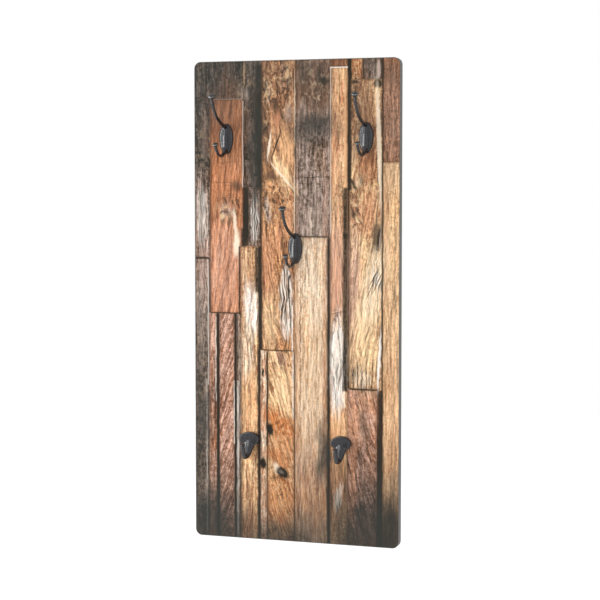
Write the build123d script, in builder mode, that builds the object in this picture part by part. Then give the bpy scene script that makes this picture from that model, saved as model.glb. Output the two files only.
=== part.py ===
from build123d import *
import os
from math import cos, pi, sin

# Wall hook rack: a printed board with three double hooks and two single hooks.
# Millimetres. +Z is up, the printed face looks along -Y and the wall is the plane Y = 0.
# The origin is on the wall plane, midway between the two keyhole entries.

# Board
BOARD_WIDTH = 400.0
BOARD_HEIGHT = 900.0
BOARD_THICKNESS = 16.0
CORNER_RADIUS = 12.5
SHEET_THICKNESS = 0.4
BAND_THICKNESS = 1.0
WALL_GAP = 5.5
KEYHOLE_DROP = 75.0

# Hook places on the board, from its centre line and its top edge
UPPER_HOOK_X = 136.0
UPPER_HOOK_DROP = 145.0
CENTRE_HOOK_DROP = 349.0
LOWER_HOOK_X = 90.0
LOWER_HOOK_DROP = 710.0

# Double hook: an egg-shaped plate and raised rib, with a long arm above and a short prong below
PLATE_HEIGHT = 57.0
PLATE_WIDTH = 27.5
PLATE_THICKNESS = 5.5
PLATE_BEVEL_DEPTH = 3.0
PLATE_BEVEL_WIDTH = 3.6
PLATE_BLUNTNESS = 0.07
RIB_WIDTH = 13.0
RIB_HEIGHT = 44.0
RIB_DROP = 5.0
RIB_STAND = 10.5
RIB_BEVEL = 1.8
RIB_SIDES = 12
ARM_WIDTH = 5.4
ARM_CAP_RADIUS = 6.4
PRONG_WIDTH = 5.4
PRONG_CAP_RADIUS = 4.9

# Single hook: a flat oval plate and tapering neck, with one prong below
OVAL_WIDTH = 39.5
OVAL_HEIGHT = 26.5
OVAL_THICKNESS = 7.0
OVAL_BEVEL = 2.2
NECK_TOP_WIDTH = 24.0
NECK_FOOT_WIDTH = 11.0
NECK_TOP_Z = -4.0
NECK_FOOT_Z = -30.0
NECK_STAND = 10.5
SINGLE_WIDTH = 8.0
SINGLE_CAP_RADIUS = 4.6

# Half depths of the limbs at even steps along them, from the root in the plate to the neck under the cap
ARM_HALF_DEPTHS = [4.0, 3.5, 3.2, 3.0, 2.8, 2.7, 2.6, 2.5, 2.4]
PRONG_HALF_DEPTHS = [6.0, 5.8, 5.2, 4.4, 3.6, 3.1, 2.8, 2.6, 2.5, 2.4]
SINGLE_HALF_DEPTHS = [5.0, 5.0, 4.8, 4.3, 3.8, 3.4, 3.0, 2.8, 2.6]
LIMB_BEVEL = 1.5

# Button caps on the ends of the limbs, in cap radii
CAP_HEIGHT = 1.5
CAP_UNDER_BEVEL = 0.6
CAP_CROWN_BEVEL = 0.55
CAP_CROWN_INSET = 0.55

# Round forms of the castings are drawn with flat sides, to keep them light
CAP_SIDES = 16
PLATE_SIDES = 32

# Hexagon-head hook screws, put in from behind
SCREW_RADIUS = 2.0
SCREW_LENGTH = 20.0
HEAD_ACROSS_FLATS = 7.0
HEAD_HEIGHT = 2.8
SCREW_HOLE_RADIUS = 2.25
TAPPED_HOLE_RADIUS = 2.05
TAPPED_HOLE_DEPTH = 5.0
DOUBLE_SCREW_RISES = (-14.0, 14.0)
SINGLE_SCREW_RISES = (0.0,)

# Raised keyhole hangers, pressed from sheet
KEYHOLE_X = 150.0
HANGER_SHEET = 1.2
FLANGE_WIDTH = 26.0
FLANGE_HEIGHT = 72.0
FLANGE_CORNER = 6.0
RAISED_RADIUS = 10.0
ENTRY_RADIUS = 5.0
SLOT_RADIUS = 2.5
SLOT_RISE = 12.0
HANGER_SCREW_OFFSET = 28.5
WOOD_SCREW_RADIUS = 1.75
WOOD_SCREW_LENGTH = 13.0
WOOD_HEAD_RADIUS = 3.3
WOOD_HEAD_HEIGHT = 2.2
FIT_GAP = 0.05

# Soft square wall bumpers
BUMPER_SIZE = 15.0
BUMPER_X = 165.0
BUMPER_RISE = 35.0

# Worked out from the sizes above
TOP_Z = KEYHOLE_DROP
BOTTOM_Z = TOP_Z - BOARD_HEIGHT
CENTRE_Z = (TOP_Z + BOTTOM_Z) / 2
FRONT_Y = -(WALL_GAP + BOARD_THICKNESS)
CORE_WIDTH = BOARD_WIDTH - 2 * BAND_THICKNESS
CORE_HEIGHT = BOARD_HEIGHT - 2 * BAND_THICKNESS
CORE_CORNER = CORNER_RADIUS - BAND_THICKNESS
CORE_THICKNESS = BOARD_THICKNESS - SHEET_THICKNESS
HANGER_CENTRE_Z = SLOT_RISE / 2
HANGER_SCREW_Z = (HANGER_CENTRE_Z - HANGER_SCREW_OFFSET, HANGER_CENTRE_Z + HANGER_SCREW_OFFSET)

DOUBLE_HOOKS = {
    "top_left": (-UPPER_HOOK_X, TOP_Z - UPPER_HOOK_DROP),
    "top_right": (UPPER_HOOK_X, TOP_Z - UPPER_HOOK_DROP),
    "centre": (0.0, TOP_Z - CENTRE_HOOK_DROP),
}
SINGLE_HOOKS = {
    "lower_left": (-LOWER_HOOK_X, TOP_Z - LOWER_HOOK_DROP),
    "lower_right": (LOWER_HOOK_X, TOP_Z - LOWER_HOOK_DROP),
}
SIDES = {"left": -1, "right": 1}


def screw_places(hook_place, rises):
    x, z = hook_place
    return [(x, z + rise) for rise in rises]


SCREW_GROUPS = {name: screw_places(place, DOUBLE_SCREW_RISES) for name, place in DOUBLE_HOOKS.items()}
SCREW_GROUPS |= {name: screw_places(place, SINGLE_SCREW_RISES) for name, place in SINGLE_HOOKS.items()}
HOOK_SCREWS = [place for group in SCREW_GROUPS.values() for place in group]
HANGER_SCREWS = [(sign * KEYHOLE_X, z) for sign in SIDES.values() for z in HANGER_SCREW_Z]


def off_wall(distance):
    """The upright plane that far from the wall: x is right, y is up and z points into the room."""
    return Plane.XZ.offset(distance)


def save(piece, name):
    piece.part.label = name
    export_step(piece.part, f"parts/{name}.step")


def board_outline(width, height, radius):
    with Locations((0, CENTRE_Z)):
        RectangleRounded(width, height, radius)


def discs(places, radius):
    with Locations(*places):
        Circle(radius)


os.makedirs("parts", exist_ok=True)

# Board core with the holes for both kinds of screw
with BuildPart() as board_core:
    with BuildSketch(off_wall(WALL_GAP)):
        board_outline(CORE_WIDTH, CORE_HEIGHT, CORE_CORNER)
    extrude(amount=CORE_THICKNESS)
    with BuildSketch(off_wall(WALL_GAP)):
        discs(HOOK_SCREWS, SCREW_HOLE_RADIUS)
    extrude(amount=CORE_THICKNESS, mode=Mode.SUBTRACT)
    with BuildSketch(off_wall(WALL_GAP)):
        discs(HANGER_SCREWS, WOOD_SCREW_RADIUS + FIT_GAP)
    extrude(amount=WOOD_SCREW_LENGTH, mode=Mode.SUBTRACT)
save(board_core, "board_core")

# Printed sheet on the front of the core
with BuildPart() as printed_face:
    with BuildSketch(off_wall(WALL_GAP + CORE_THICKNESS)):
        board_outline(CORE_WIDTH, CORE_HEIGHT, CORE_CORNER)
    extrude(amount=SHEET_THICKNESS)
    with BuildSketch(off_wall(WALL_GAP + CORE_THICKNESS)):
        discs(HOOK_SCREWS, SCREW_HOLE_RADIUS)
    extrude(amount=SHEET_THICKNESS, mode=Mode.SUBTRACT)
save(printed_face, "printed_face")

# Edge band round the whole board
with BuildPart() as edge_band:
    with BuildSketch(off_wall(WALL_GAP)):
        board_outline(BOARD_WIDTH, BOARD_HEIGHT, CORNER_RADIUS)
    extrude(amount=BOARD_THICKNESS)
    with BuildSketch(off_wall(WALL_GAP)):
        board_outline(CORE_WIDTH, CORE_HEIGHT, CORE_CORNER)
    extrude(amount=BOARD_THICKNESS, mode=Mode.SUBTRACT)
save(edge_band, "edge_band")


def oval(width, height, sides, bluntness=0.0):
    """A many-sided oval, which bluntness makes fuller above its middle than below it."""
    corners = []
    for side in range(sides):
        turn = 2 * pi * (side + 0.5) / sides
        fullness = 1 + bluntness * sin(turn) * abs(cos(turn))
        corners.append((width / 2 * cos(turn) * fullness, height / 2 * sin(turn)))
    Polygon(*corners, align=None)


def limb(path, half_depths, width):
    """A tapering bar along a centre line: its side outline, thickened to both sides and bevelled."""
    upper, lower = [], []
    for step, half_depth in enumerate(half_depths):
        place = step / (len(half_depths) - 1)
        across = (path % place).cross(Vector(1, 0, 0)) * half_depth
        upper.append(path @ place + across)
        lower.insert(0, path @ place - across)
    with BuildPart() as bar:
        with BuildSketch(Plane.YZ):
            Polygon(*[(point.Y, point.Z) for point in upper + lower], align=None)
        extrude(amount=width / 2, both=True)
        chamfer(bar.faces().filter_by(Axis.X).edges(), LIMB_BEVEL)
    return bar.part


def cap(path, neck, radius):
    """The button cap on a limb's far end, bevelled down to the neck and up to a small crown."""
    onward = Axis(path @ 1, path % 1)
    with BuildPart() as button:
        with BuildSketch(Plane(origin=path @ 1, x_dir=(1, 0, 0), z_dir=path % 1)):
            oval(2 * radius, 2 * radius, CAP_SIDES)
        extrude(amount=CAP_HEIGHT * radius)
        below = button.faces().sort_by(onward)[0]
        chamfer(below.edges(), radius - neck, CAP_UNDER_BEVEL * radius, reference=below)
        above = button.faces().sort_by(onward)[-1]
        chamfer(above.edges(), CAP_CROWN_INSET * radius, CAP_CROWN_BEVEL * radius, reference=above)
    return button.part


# Centre lines of the limbs in the upright plane through the hook: first number along Y, second along Z
with BuildLine(Plane.YZ) as arm_line:
    arm_rise = TangentArc((-1.5, 21), (-46, 36.5), tangent=(-1, 0.2))
    arm_sweep = TangentArc(arm_rise @ 1, (-75.4, 70.3), tangent=arm_rise % 1)
with BuildLine(Plane.YZ) as prong_line:
    prong_fall = TangentArc((-3, 6), (-14, -22), tangent=(-0.3, -1))
    prong_turn = TangentArc(prong_fall @ 1, (-30, -32.5), tangent=prong_fall % 1)
    prong_rise = TangentArc(prong_turn @ 1, (-57.4, -15.6), tangent=prong_turn % 1)
with BuildLine(Plane.YZ) as single_line:
    single_fall = TangentArc((-3, 1), (-12.5, -23), tangent=(-0.35, -1))
    single_turn = TangentArc(single_fall @ 1, (-26.5, -31.4), tangent=single_fall % 1)
    single_rise = TangentArc(single_turn @ 1, (-41.5, -9.8), tangent=single_turn % 1)

# Double hook, made once with the back of its plate on the plane Y = 0
with BuildPart() as double_hook:
    with BuildSketch(Plane.XZ):
        oval(PLATE_WIDTH, PLATE_HEIGHT, PLATE_SIDES, PLATE_BLUNTNESS)
    extrude(amount=PLATE_THICKNESS)
    chamfer(double_hook.faces().sort_by(Axis.Y)[0].edges(), PLATE_BEVEL_DEPTH, PLATE_BEVEL_WIDTH)
    with BuildSketch(Plane.XZ):
        with Locations((0, -RIB_DROP)):
            oval(RIB_WIDTH, RIB_HEIGHT, RIB_SIDES)
    extrude(amount=RIB_STAND)
    chamfer(double_hook.faces().sort_by(Axis.Y)[0].edges(), RIB_BEVEL)
    add(limb(arm_line.line, ARM_HALF_DEPTHS, ARM_WIDTH))
    add(cap(arm_line.line, ARM_HALF_DEPTHS[-1], ARM_CAP_RADIUS))
    add(limb(prong_line.line, PRONG_HALF_DEPTHS, PRONG_WIDTH))
    add(cap(prong_line.line, PRONG_HALF_DEPTHS[-1], PRONG_CAP_RADIUS))
    split(bisect_by=Plane.XZ, keep=Keep.TOP)
    with BuildSketch(Plane.XZ):
        discs([(0, rise) for rise in DOUBLE_SCREW_RISES], TAPPED_HOLE_RADIUS)
    extrude(amount=TAPPED_HOLE_DEPTH, mode=Mode.SUBTRACT)

# Single hook, made once in the same way
with BuildPart() as single_hook:
    with BuildSketch(Plane.XZ):
        oval(OVAL_WIDTH, OVAL_HEIGHT, PLATE_SIDES)
    extrude(amount=OVAL_THICKNESS)
    chamfer(single_hook.faces().sort_by(Axis.Y)[0].edges(), OVAL_BEVEL)
    with BuildSketch(Plane.XZ):
        Polygon(
            (-NECK_TOP_WIDTH / 2, NECK_TOP_Z),
            (NECK_TOP_WIDTH / 2, NECK_TOP_Z),
            (NECK_FOOT_WIDTH / 2, NECK_FOOT_Z),
            (-NECK_FOOT_WIDTH / 2, NECK_FOOT_Z),
            align=None,
        )
    extrude(amount=NECK_STAND)
    chamfer(single_hook.faces().sort_by(Axis.Y)[0].edges(), OVAL_BEVEL)
    add(limb(single_line.line, SINGLE_HALF_DEPTHS, SINGLE_WIDTH))
    add(cap(single_line.line, SINGLE_HALF_DEPTHS[-1], SINGLE_CAP_RADIUS))
    split(bisect_by=Plane.XZ, keep=Keep.TOP)
    with BuildSketch(Plane.XZ):
        discs([(0, rise) for rise in SINGLE_SCREW_RISES], TAPPED_HOLE_RADIUS)
    extrude(amount=TAPPED_HOLE_DEPTH, mode=Mode.SUBTRACT)

# The five hooks at their places on the printed face
for name, (x, z) in DOUBLE_HOOKS.items():
    with BuildPart() as hook:
        with Locations((x, FRONT_Y, z)):
            add(double_hook.part)
    save(hook, f"{name}_double_hook")
for name, (x, z) in SINGLE_HOOKS.items():
    with BuildPart() as hook:
        with Locations((x, FRONT_Y, z)):
            add(single_hook.part)
    save(hook, f"{name}_single_hook")

# Screws that hold each hook from behind
for name, places in SCREW_GROUPS.items():
    with BuildPart() as hook_screws:
        with BuildSketch(off_wall(WALL_GAP - HEAD_HEIGHT)):
            with Locations(*places):
                RegularPolygon(HEAD_ACROSS_FLATS / 2, 6, major_radius=False)
        extrude(amount=HEAD_HEIGHT)
        with BuildSketch(off_wall(WALL_GAP)):
            discs(places, SCREW_RADIUS)
        extrude(amount=SCREW_LENGTH)
    save(hook_screws, f"{name}_hook_screws")

# Raised keyhole hangers, each with its two wood screws
for side, sign in SIDES.items():
    x = sign * KEYHOLE_X
    with BuildPart() as hanger:
        with BuildSketch(off_wall(WALL_GAP - HANGER_SHEET)) as flange:
            with Locations((x, HANGER_CENTRE_Z)):
                Rectangle(FLANGE_WIDTH, FLANGE_HEIGHT)
            chamfer(flange.vertices(), FLANGE_CORNER)
            with Locations(*[(x, z) for z in HANGER_SCREW_Z]):
                Circle(WOOD_SCREW_RADIUS + FIT_GAP, mode=Mode.SUBTRACT)
        extrude(amount=HANGER_SHEET)
        with BuildSketch(off_wall(0)):
            with Locations((x, HANGER_CENTRE_Z)):
                SlotCenterToCenter(SLOT_RISE, 2 * RAISED_RADIUS, rotation=90)
        extrude(amount=WALL_GAP)
        with BuildSketch(off_wall(HANGER_SHEET)):
            with Locations((x, HANGER_CENTRE_Z)):
                SlotCenterToCenter(SLOT_RISE, 2 * (RAISED_RADIUS - HANGER_SHEET), rotation=90)
        extrude(amount=WALL_GAP, mode=Mode.SUBTRACT)
        with BuildSketch(off_wall(0)):
            with Locations((x, 0)):
                Circle(ENTRY_RADIUS)
            with Locations((x, HANGER_CENTRE_Z)):
                SlotCenterToCenter(SLOT_RISE, 2 * SLOT_RADIUS, rotation=90)
        extrude(amount=HANGER_SHEET, mode=Mode.SUBTRACT)
    save(hanger, f"{side}_keyhole_hanger")

    with BuildPart() as hanger_screws:
        with BuildSketch(off_wall(WALL_GAP - HANGER_SHEET - WOOD_HEAD_HEIGHT)):
            discs([(x, z) for z in HANGER_SCREW_Z], WOOD_HEAD_RADIUS)
        extrude(amount=WOOD_HEAD_HEIGHT)
        with BuildSketch(off_wall(WALL_GAP - HANGER_SHEET)):
            discs([(x, z) for z in HANGER_SCREW_Z], WOOD_SCREW_RADIUS)
        extrude(amount=WOOD_SCREW_LENGTH)
    save(hanger_screws, f"{side}_hanger_screws")

# Bumpers that keep the lower end parallel to the wall
for side, sign in SIDES.items():
    with BuildPart() as bumper:
        with BuildSketch(off_wall(0)):
            with Locations((sign * BUMPER_X, BOTTOM_Z + BUMPER_RISE)):
                Rectangle(BUMPER_SIZE, BUMPER_SIZE)
        extrude(amount=WALL_GAP)
    save(bumper, f"{side}_wall_bumper")
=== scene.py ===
# %% [markdown]
# A wall hook rack in Blender
#
# The rack is a tall flat board, printed with weathered wood planks, that carries three cast double hooks
# and two smaller single hooks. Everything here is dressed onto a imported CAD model, the frame, in metres.
# The frame gives the place of every piece and the box that it has to fit.

# %% Load the frame
import bmesh
import bpy
from math import cos, pi, radians, sin
from mathutils import Euler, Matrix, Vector
from mathutils.geometry import interpolate_bezier


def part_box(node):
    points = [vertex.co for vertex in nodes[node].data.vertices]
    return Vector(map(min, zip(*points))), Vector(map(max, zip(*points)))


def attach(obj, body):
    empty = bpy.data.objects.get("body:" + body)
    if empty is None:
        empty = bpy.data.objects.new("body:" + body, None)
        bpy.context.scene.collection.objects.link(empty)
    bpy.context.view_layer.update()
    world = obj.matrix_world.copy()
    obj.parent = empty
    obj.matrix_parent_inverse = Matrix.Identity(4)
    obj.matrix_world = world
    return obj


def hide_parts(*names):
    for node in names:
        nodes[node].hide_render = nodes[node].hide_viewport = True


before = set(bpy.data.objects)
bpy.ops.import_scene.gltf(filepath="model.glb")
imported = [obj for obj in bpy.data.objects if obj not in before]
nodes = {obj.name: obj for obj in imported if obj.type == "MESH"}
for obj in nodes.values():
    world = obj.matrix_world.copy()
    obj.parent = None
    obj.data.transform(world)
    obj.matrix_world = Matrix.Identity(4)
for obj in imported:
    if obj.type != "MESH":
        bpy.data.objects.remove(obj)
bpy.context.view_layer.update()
MM = 0.001
print("nodes in the frame:", len(nodes))

# %% [markdown]
# The board's own sizes come first, because the camera, the print and the hooks are all placed from them.
# The edge band is the outermost piece, so its box is the outline of the board.

# %% Measure the board
board_low, board_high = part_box("edge_band")
board_width = board_high.x - board_low.x
board_height = board_high.z - board_low.z
front_y = board_low.y
face_centre = Vector(((board_low.x + board_high.x) / 2, front_y, (board_low.z + board_high.z) / 2))
print("board", round(board_width, 4), "x", round(board_height, 4), "m, front at y =", round(front_y, 4))

# %% [markdown]
# The camera stands to the right of the rack and a little above its middle, at eye level, with a long lens.
# A long lens keeps the sides of the tall board nearly parallel, as a studio photograph does. The small
# downward shift stands in for part of the tilt, so that the upright edges stay upright.

# %% Camera
CAMERA_FROM_FACE = Vector((0.9136, -2.8210, 0.2173))
CAMERA_TURN = radians(17.775)
CAMERA_TILT = radians(-3.446)
CAMERA_LENS = 95.77
CAMERA_SENSOR = 36.0
CAMERA_SHIFT = -0.03

camera_data = bpy.data.cameras.new("camera")
camera_data.lens = CAMERA_LENS
camera_data.sensor_width = CAMERA_SENSOR
camera_data.shift_y = CAMERA_SHIFT
camera = bpy.data.objects.new("camera", camera_data)
camera.location = face_centre + CAMERA_FROM_FACE
camera.rotation_euler = Euler((pi / 2 + CAMERA_TILT, 0, CAMERA_TURN))
bpy.context.scene.collection.objects.link(camera)
bpy.context.scene.camera = camera
print("camera at", [round(value, 3) for value in camera.location])

# %% [markdown]
# Materials here are node trees written in code. A few short helpers make that readable. One adds any node and
# fills its inputs, either with a plain value or by linking another node's output, and the others stand for
# the nodes that are used most. Colours are written as they look on a screen, from 0 to 255, and turned into
# the linear values that Blender's shaders work in.

# %% Node helpers
def linear(colour):
    """A screen colour, 0 to 255, as a linear colour with alpha."""
    shares = [value / 255 for value in colour]
    return tuple(s / 12.92 if s <= 0.04045 else ((s + 0.055) / 1.055) ** 2.4 for s in shares) + (1.0,)


def put(tree, kind, inputs=None, **settings):
    """Adds a node, sets its properties and fills its inputs with values or other nodes' outputs."""
    made = tree.nodes.new(kind)
    for name, value in settings.items():
        setattr(made, name, value)
    for key, value in (inputs or {}).items():
        if isinstance(value, bpy.types.NodeSocket):
            tree.links.new(value, made.inputs[key])
        else:
            made.inputs[key].default_value = value
    return made


def calc(tree, operation, first, second=0.0, clamp=False):
    """One step of arithmetic on numbers."""
    made = put(tree, "ShaderNodeMath", {0: first, 1: second}, operation=operation, use_clamp=clamp)
    return made.outputs[0]


def vector(tree, operation, first, second=(0.0, 0.0, 0.0)):
    """One step of arithmetic on places or colours."""
    made = put(tree, "ShaderNodeVectorMath", {0: first, 1: second}, operation=operation)
    return made.outputs["Value" if operation in ("LENGTH", "DOT_PRODUCT") else "Vector"]


def spread(tree, value, low, high, to_low=0.0, to_high=1.0):
    """Stretches a value from one span to another, with a soft start and end."""
    made = put(tree, "ShaderNodeMapRange", {"Value": value, "From Min": low, "From Max": high,
                                            "To Min": to_low, "To Max": to_high},
               interpolation_type="SMOOTHSTEP")
    return made.outputs["Result"]


def blend(tree, factor, under, over, mode="MIX"):
    """Lays one colour over another, as far as the factor says."""
    made = put(tree, "ShaderNodeMix", data_type="RGBA", blend_type=mode)
    for socket, value in zip((made.inputs[0], made.inputs[6], made.inputs[7]), (factor, under, over)):
        if isinstance(value, bpy.types.NodeSocket):
            tree.links.new(value, socket)
        else:
            socket.default_value = value
    return made.outputs[2]


def noise(tree, place, scale, detail=2.0, rough=0.5, seed=None):
    """A noise value about a point; a seed moves to another slice of the same noise."""
    inputs = {"Vector": place, "Scale": scale, "Detail": detail, "Roughness": rough}
    if seed is not None:
        inputs["W"] = seed
    made = put(tree, "ShaderNodeTexNoise", inputs, noise_dimensions="3D" if seed is None else "4D")
    return made.outputs["Fac"]


print("a screen grey of 128 is", round(linear((128, 128, 128))[0], 3), "in linear light")

# %% [markdown]
# Every finish starts from Blender's Principled shader and gets the same few things: a colour, often a
# roughness that varies, and a bump for what is too fine to model. Most of the colours are two close tones
# that a noise mixes, because no real finish is quite even.

# %% Finish helpers
def start_material(name, roughness=0.5, metallic=0.0):
    """A new material, with its node tree, its shader and the place of a point on the piece."""
    material = bpy.data.materials.new(name)
    material.use_nodes = True
    tree = material.node_tree
    shader = tree.nodes["Principled BSDF"]
    shader.inputs["Metallic"].default_value = metallic
    shader.inputs["Roughness"].default_value = roughness
    place = tree.nodes.new("ShaderNodeTexCoord").outputs["Object"]
    return material, tree, shader, place


def mottle(tree, amount, first, second):
    """Mixes two screen colours."""
    return blend(tree, amount, linear(first), linear(second))


def surface(tree, shader, colour, roughness=None, bump=None):
    """Links a colour and, where they are given, a roughness and a bump of (height, strength, depth)."""
    tree.links.new(colour, shader.inputs["Base Color"])
    if roughness is not None:
        tree.links.new(roughness, shader.inputs["Roughness"])
    if bump is not None:
        height, strength, depth = bump
        raised = put(tree, "ShaderNodeBump", {"Height": height, "Strength": strength, "Distance": depth})
        tree.links.new(raised.outputs[0], shader.inputs["Normal"])


def dress(node_names, material):
    """Gives CAD nodes a better material without touching their shape."""
    for name in node_names:
        piece = nodes[name]
        piece.data.materials.clear()
        piece.data.materials.append(material)
    print(material.name, "on", ", ".join(node_names))


# %% [markdown]
# The face is a flat print of old planks under a matt lacquer. A print has no relief, so all of it is colour:
# the CAD sheet stays as it is and one material draws the planks. The print could be a picture file, but then
# it would only be as sharp as the file. Here each plank is an area with two tones, a dark and a light one,
# and a stretched noise decides how much of each shows, which is how wood grain reads from a step away.
#
# Places on the print are millimetres from its top left corner, as a designer would lay it out on paper.
# First come the wood tones, from soot black to bone white.

# %% Wood tones
LACQUER_HAZE = 0.012
DARKEST_INK = 0.006
SEEN_TONES = {
    "soot": (54, 50, 44),
    "char": (84, 69, 58),
    "bark": (114, 87, 70),
    "umber": (146, 103, 79),
    "chestnut": (176, 117, 82),
    "rust": (198, 122, 72),
    "copper": (210, 150, 114),
    "honey": (232, 180, 134),
    "straw": (249, 212, 166),
    "cream": (252, 232, 206),
    "bone": (254, 246, 236),
    "ash": (140, 126, 116),
    "driftwood": (192, 170, 157),
    "rose": (226, 184, 164),
    "tan": (214, 174, 136),
}


def ink(colour):
    """The ink under the lacquer: what is seen, less the light that the lacquer itself sends back."""
    return tuple(max(value - LACQUER_HAZE, DARKEST_INK) for value in linear(colour)[:3]) + (1.0,)


TONES = {name: ink(colour) for name, colour in SEEN_TONES.items()}
print("wood tones:", ", ".join(TONES))

# %% [markdown]
# Two node groups do the drawing. One gives a plank's area: how far a point is inside a rectangle. The other
# gives a stain: how far a point is inside a turned oval, for knots, cracks, pale sapwood and flaked patches.
# Keeping them as groups means the long list of planks stays a list, with a single node for each.

# %% Area and stain groups
def start_group(name, inputs, outputs):
    """A new node group, with what it is given and where its results go."""
    group = bpy.data.node_groups.new(name, "ShaderNodeTree")
    for title, kind in inputs:
        group.interface.new_socket(title, in_out="INPUT", socket_type=kind)
    for title in outputs:
        group.interface.new_socket(title, in_out="OUTPUT", socket_type="NodeSocketFloat")
    return group, group.nodes.new("NodeGroupInput").outputs, group.nodes.new("NodeGroupOutput").inputs


EDGE_SHADE_WIDTH = 6.0
area_group, given, results = start_group("plank area", [
    ("Place", "NodeSocketVector"), ("Middle", "NodeSocketVector"),
    ("Half size", "NodeSocketVector"), ("Soft", "NodeSocketFloat")], ["Mask", "Depth"])
beyond = vector(area_group, "SUBTRACT",
                vector(area_group, "ABSOLUTE", vector(area_group, "SUBTRACT", given[0], given[1])), given[2])
sides = put(area_group, "ShaderNodeSeparateXYZ", {0: beyond})
farthest = calc(area_group, "MAXIMUM", sides.outputs[0], sides.outputs[1])
inside = spread(area_group, calc(area_group, "DIVIDE", farthest, given[3]), 1.0, -1.0)
area_group.links.new(inside, results[0])
area_group.links.new(spread(area_group, farthest, 0.0, -EDGE_SHADE_WIDTH), results[1])

stain_group, given, results = start_group("stain", [
    ("Place", "NodeSocketVector"), ("Middle", "NodeSocketVector"), ("Half size", "NodeSocketVector"),
    ("Angle", "NodeSocketFloat"), ("Soft", "NodeSocketFloat"), ("Strength", "NodeSocketFloat")], ["Mask"])
turned = put(stain_group, "ShaderNodeVectorRotate",
             {"Vector": vector(stain_group, "SUBTRACT", given[0], given[1]), "Angle": given[3]},
             rotation_type="Z_AXIS").outputs[0]
reach = vector(stain_group, "LENGTH", vector(stain_group, "DIVIDE", turned, given[2]))
inside = spread(stain_group, calc(stain_group, "DIVIDE", calc(stain_group, "SUBTRACT", reach, 1.0), given[4]),
                1.0, -1.0)
stain_group.links.new(calc(stain_group, "MULTIPLY", inside, given[5]), results[0])
print("nodes in the area group:", len(area_group.nodes), "and in the stain group:", len(stain_group.nodes))

# %% [markdown]
# Real plank edges aren't ruled lines. Before a point is compared with a plank, a slow noise pushes it a
# millimetre or so sideways, which makes every edge wander a little. Stains get a stronger push, so that an
# oval turns into a ragged patch.

# %% Start the print and its wandering places
print_material, tree, print_shader, object_place = start_material("plank_print", roughness=0.66)
corner = (board_low.x, 0.0, board_high.z)
flat = vector(tree, "MULTIPLY", vector(tree, "SUBTRACT", object_place, corner), (1 / MM, 0.0, -1 / MM))
flat_parts = put(tree, "ShaderNodeSeparateXYZ", {0: flat})
across, down = flat_parts.outputs[0], flat_parts.outputs[2]
sheet_place = put(tree, "ShaderNodeCombineXYZ", {0: across, 1: down}).outputs[0]


def wander(place, scale, push):
    """Pushes a place about by a colour noise, up to half of push each way."""
    cloud = put(tree, "ShaderNodeTexNoise", {"Vector": place, "Scale": scale, "Detail": 2.0},
                noise_dimensions="2D").outputs["Color"]
    centred = vector(tree, "SUBTRACT", cloud, (0.5, 0.5, 0.5))
    return vector(tree, "ADD", place, vector(tree, "MULTIPLY", centred, push))


def times(*values):
    """Multiplies two or more values of the print."""
    product = values[0]
    for value in values[1:]:
        product = calc(tree, "MULTIPLY", product, value)
    return product


PLANK_WANDER = (2.6, 1.6, 0.0)
plank_place = wander(sheet_place, 0.045, PLANK_WANDER)
print("edge wander", PLANK_WANDER, "mm")

# %% [markdown]
# Now the planks, from the left edge to the right one. Each has its left, right, top and bottom in
# millimetres, its dark and light tone, a slant for the grain and how wavy the grain is. Later planks lie over
# earlier ones. Each plank also carries its own seed, so that no two show the same grain.

# %% Plank layout
PLANKS = [
    (0, 134, 0, 72, "soot", "ash", 0.0, 0.6),
    (0, 34, 66, 205, "soot", "ash", 0.02, 0.6),
    (0, 31, 200, 368, "char", "driftwood", 0.04, 0.6),
    (0, 27, 368, 900, "char", "driftwood", 0.0, 1.0),
    (32, 97, 70, 472, "chestnut", "copper", 0.08, 0.22),
    (28, 44, 472, 900, "umber", "rose", 0.02, 0.3),
    (49, 79, 472, 900, "umber", "rose", 0.34, 0.25),
    (83, 93, 472, 900, "bark", "ash", 0.0, 0.4),
    (98, 134, 0, 236, "soot", "ash", 0.0, 0.5),
    (108, 131, 235, 346, "char", "driftwood", 0.03, 0.4),
    (93, 128, 345, 905, "chestnut", "straw", 0.03, 0.5),
    (134, 200, 0, 541, "umber", "honey", -0.12, 1.3),
    (131, 144, 540, 905, "copper", "cream", 0.0, 0.3),
    (146, 198, 540, 905, "chestnut", "straw", -0.3, 0.32),
    (201, 268, 0, 327, "char", "driftwood", 0.0, 0.18),
    (199, 263, 327, 905, "tan", "cream", 0.0, 0.1),
    (268, 301, 0, 16, "bark", "umber", 0.0, 0.3),
    (268, 301, 16, 905, "copper", "straw", 0.0, 0.2),
    (308, 329, 0, 39, "chestnut", "straw", 0.0, 0.5),
    (329, 366, 0, 50, "char", "ash", 0.0, 0.5),
    (305, 367, 39, 608, "umber", "straw", 0.10, 1.0),
    (301, 358, 606, 905, "umber", "rose", -0.22, 0.6),
    (368, 402, 0, 190, "bark", "copper", 0.0, 0.16),
    (368, 402, 190, 905, "tan", "straw", 0.02, 0.15),
]
EDGE_SOFT = 0.9
SEED_STEP = 7.3


def area(left, right, top, bottom, soft=EDGE_SOFT, on=plank_place):
    """The mask of a rectangle on the print, and how deep inside it a point lies."""
    made = put(tree, "ShaderNodeGroup", node_tree=area_group)
    tree.links.new(on, made.inputs[0])
    made.inputs[1].default_value = ((left + right) / 2, (top + bottom) / 2, 0)
    made.inputs[2].default_value = ((right - left) / 2, (bottom - top) / 2, 1)
    made.inputs[3].default_value = soft
    return made.outputs


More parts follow.
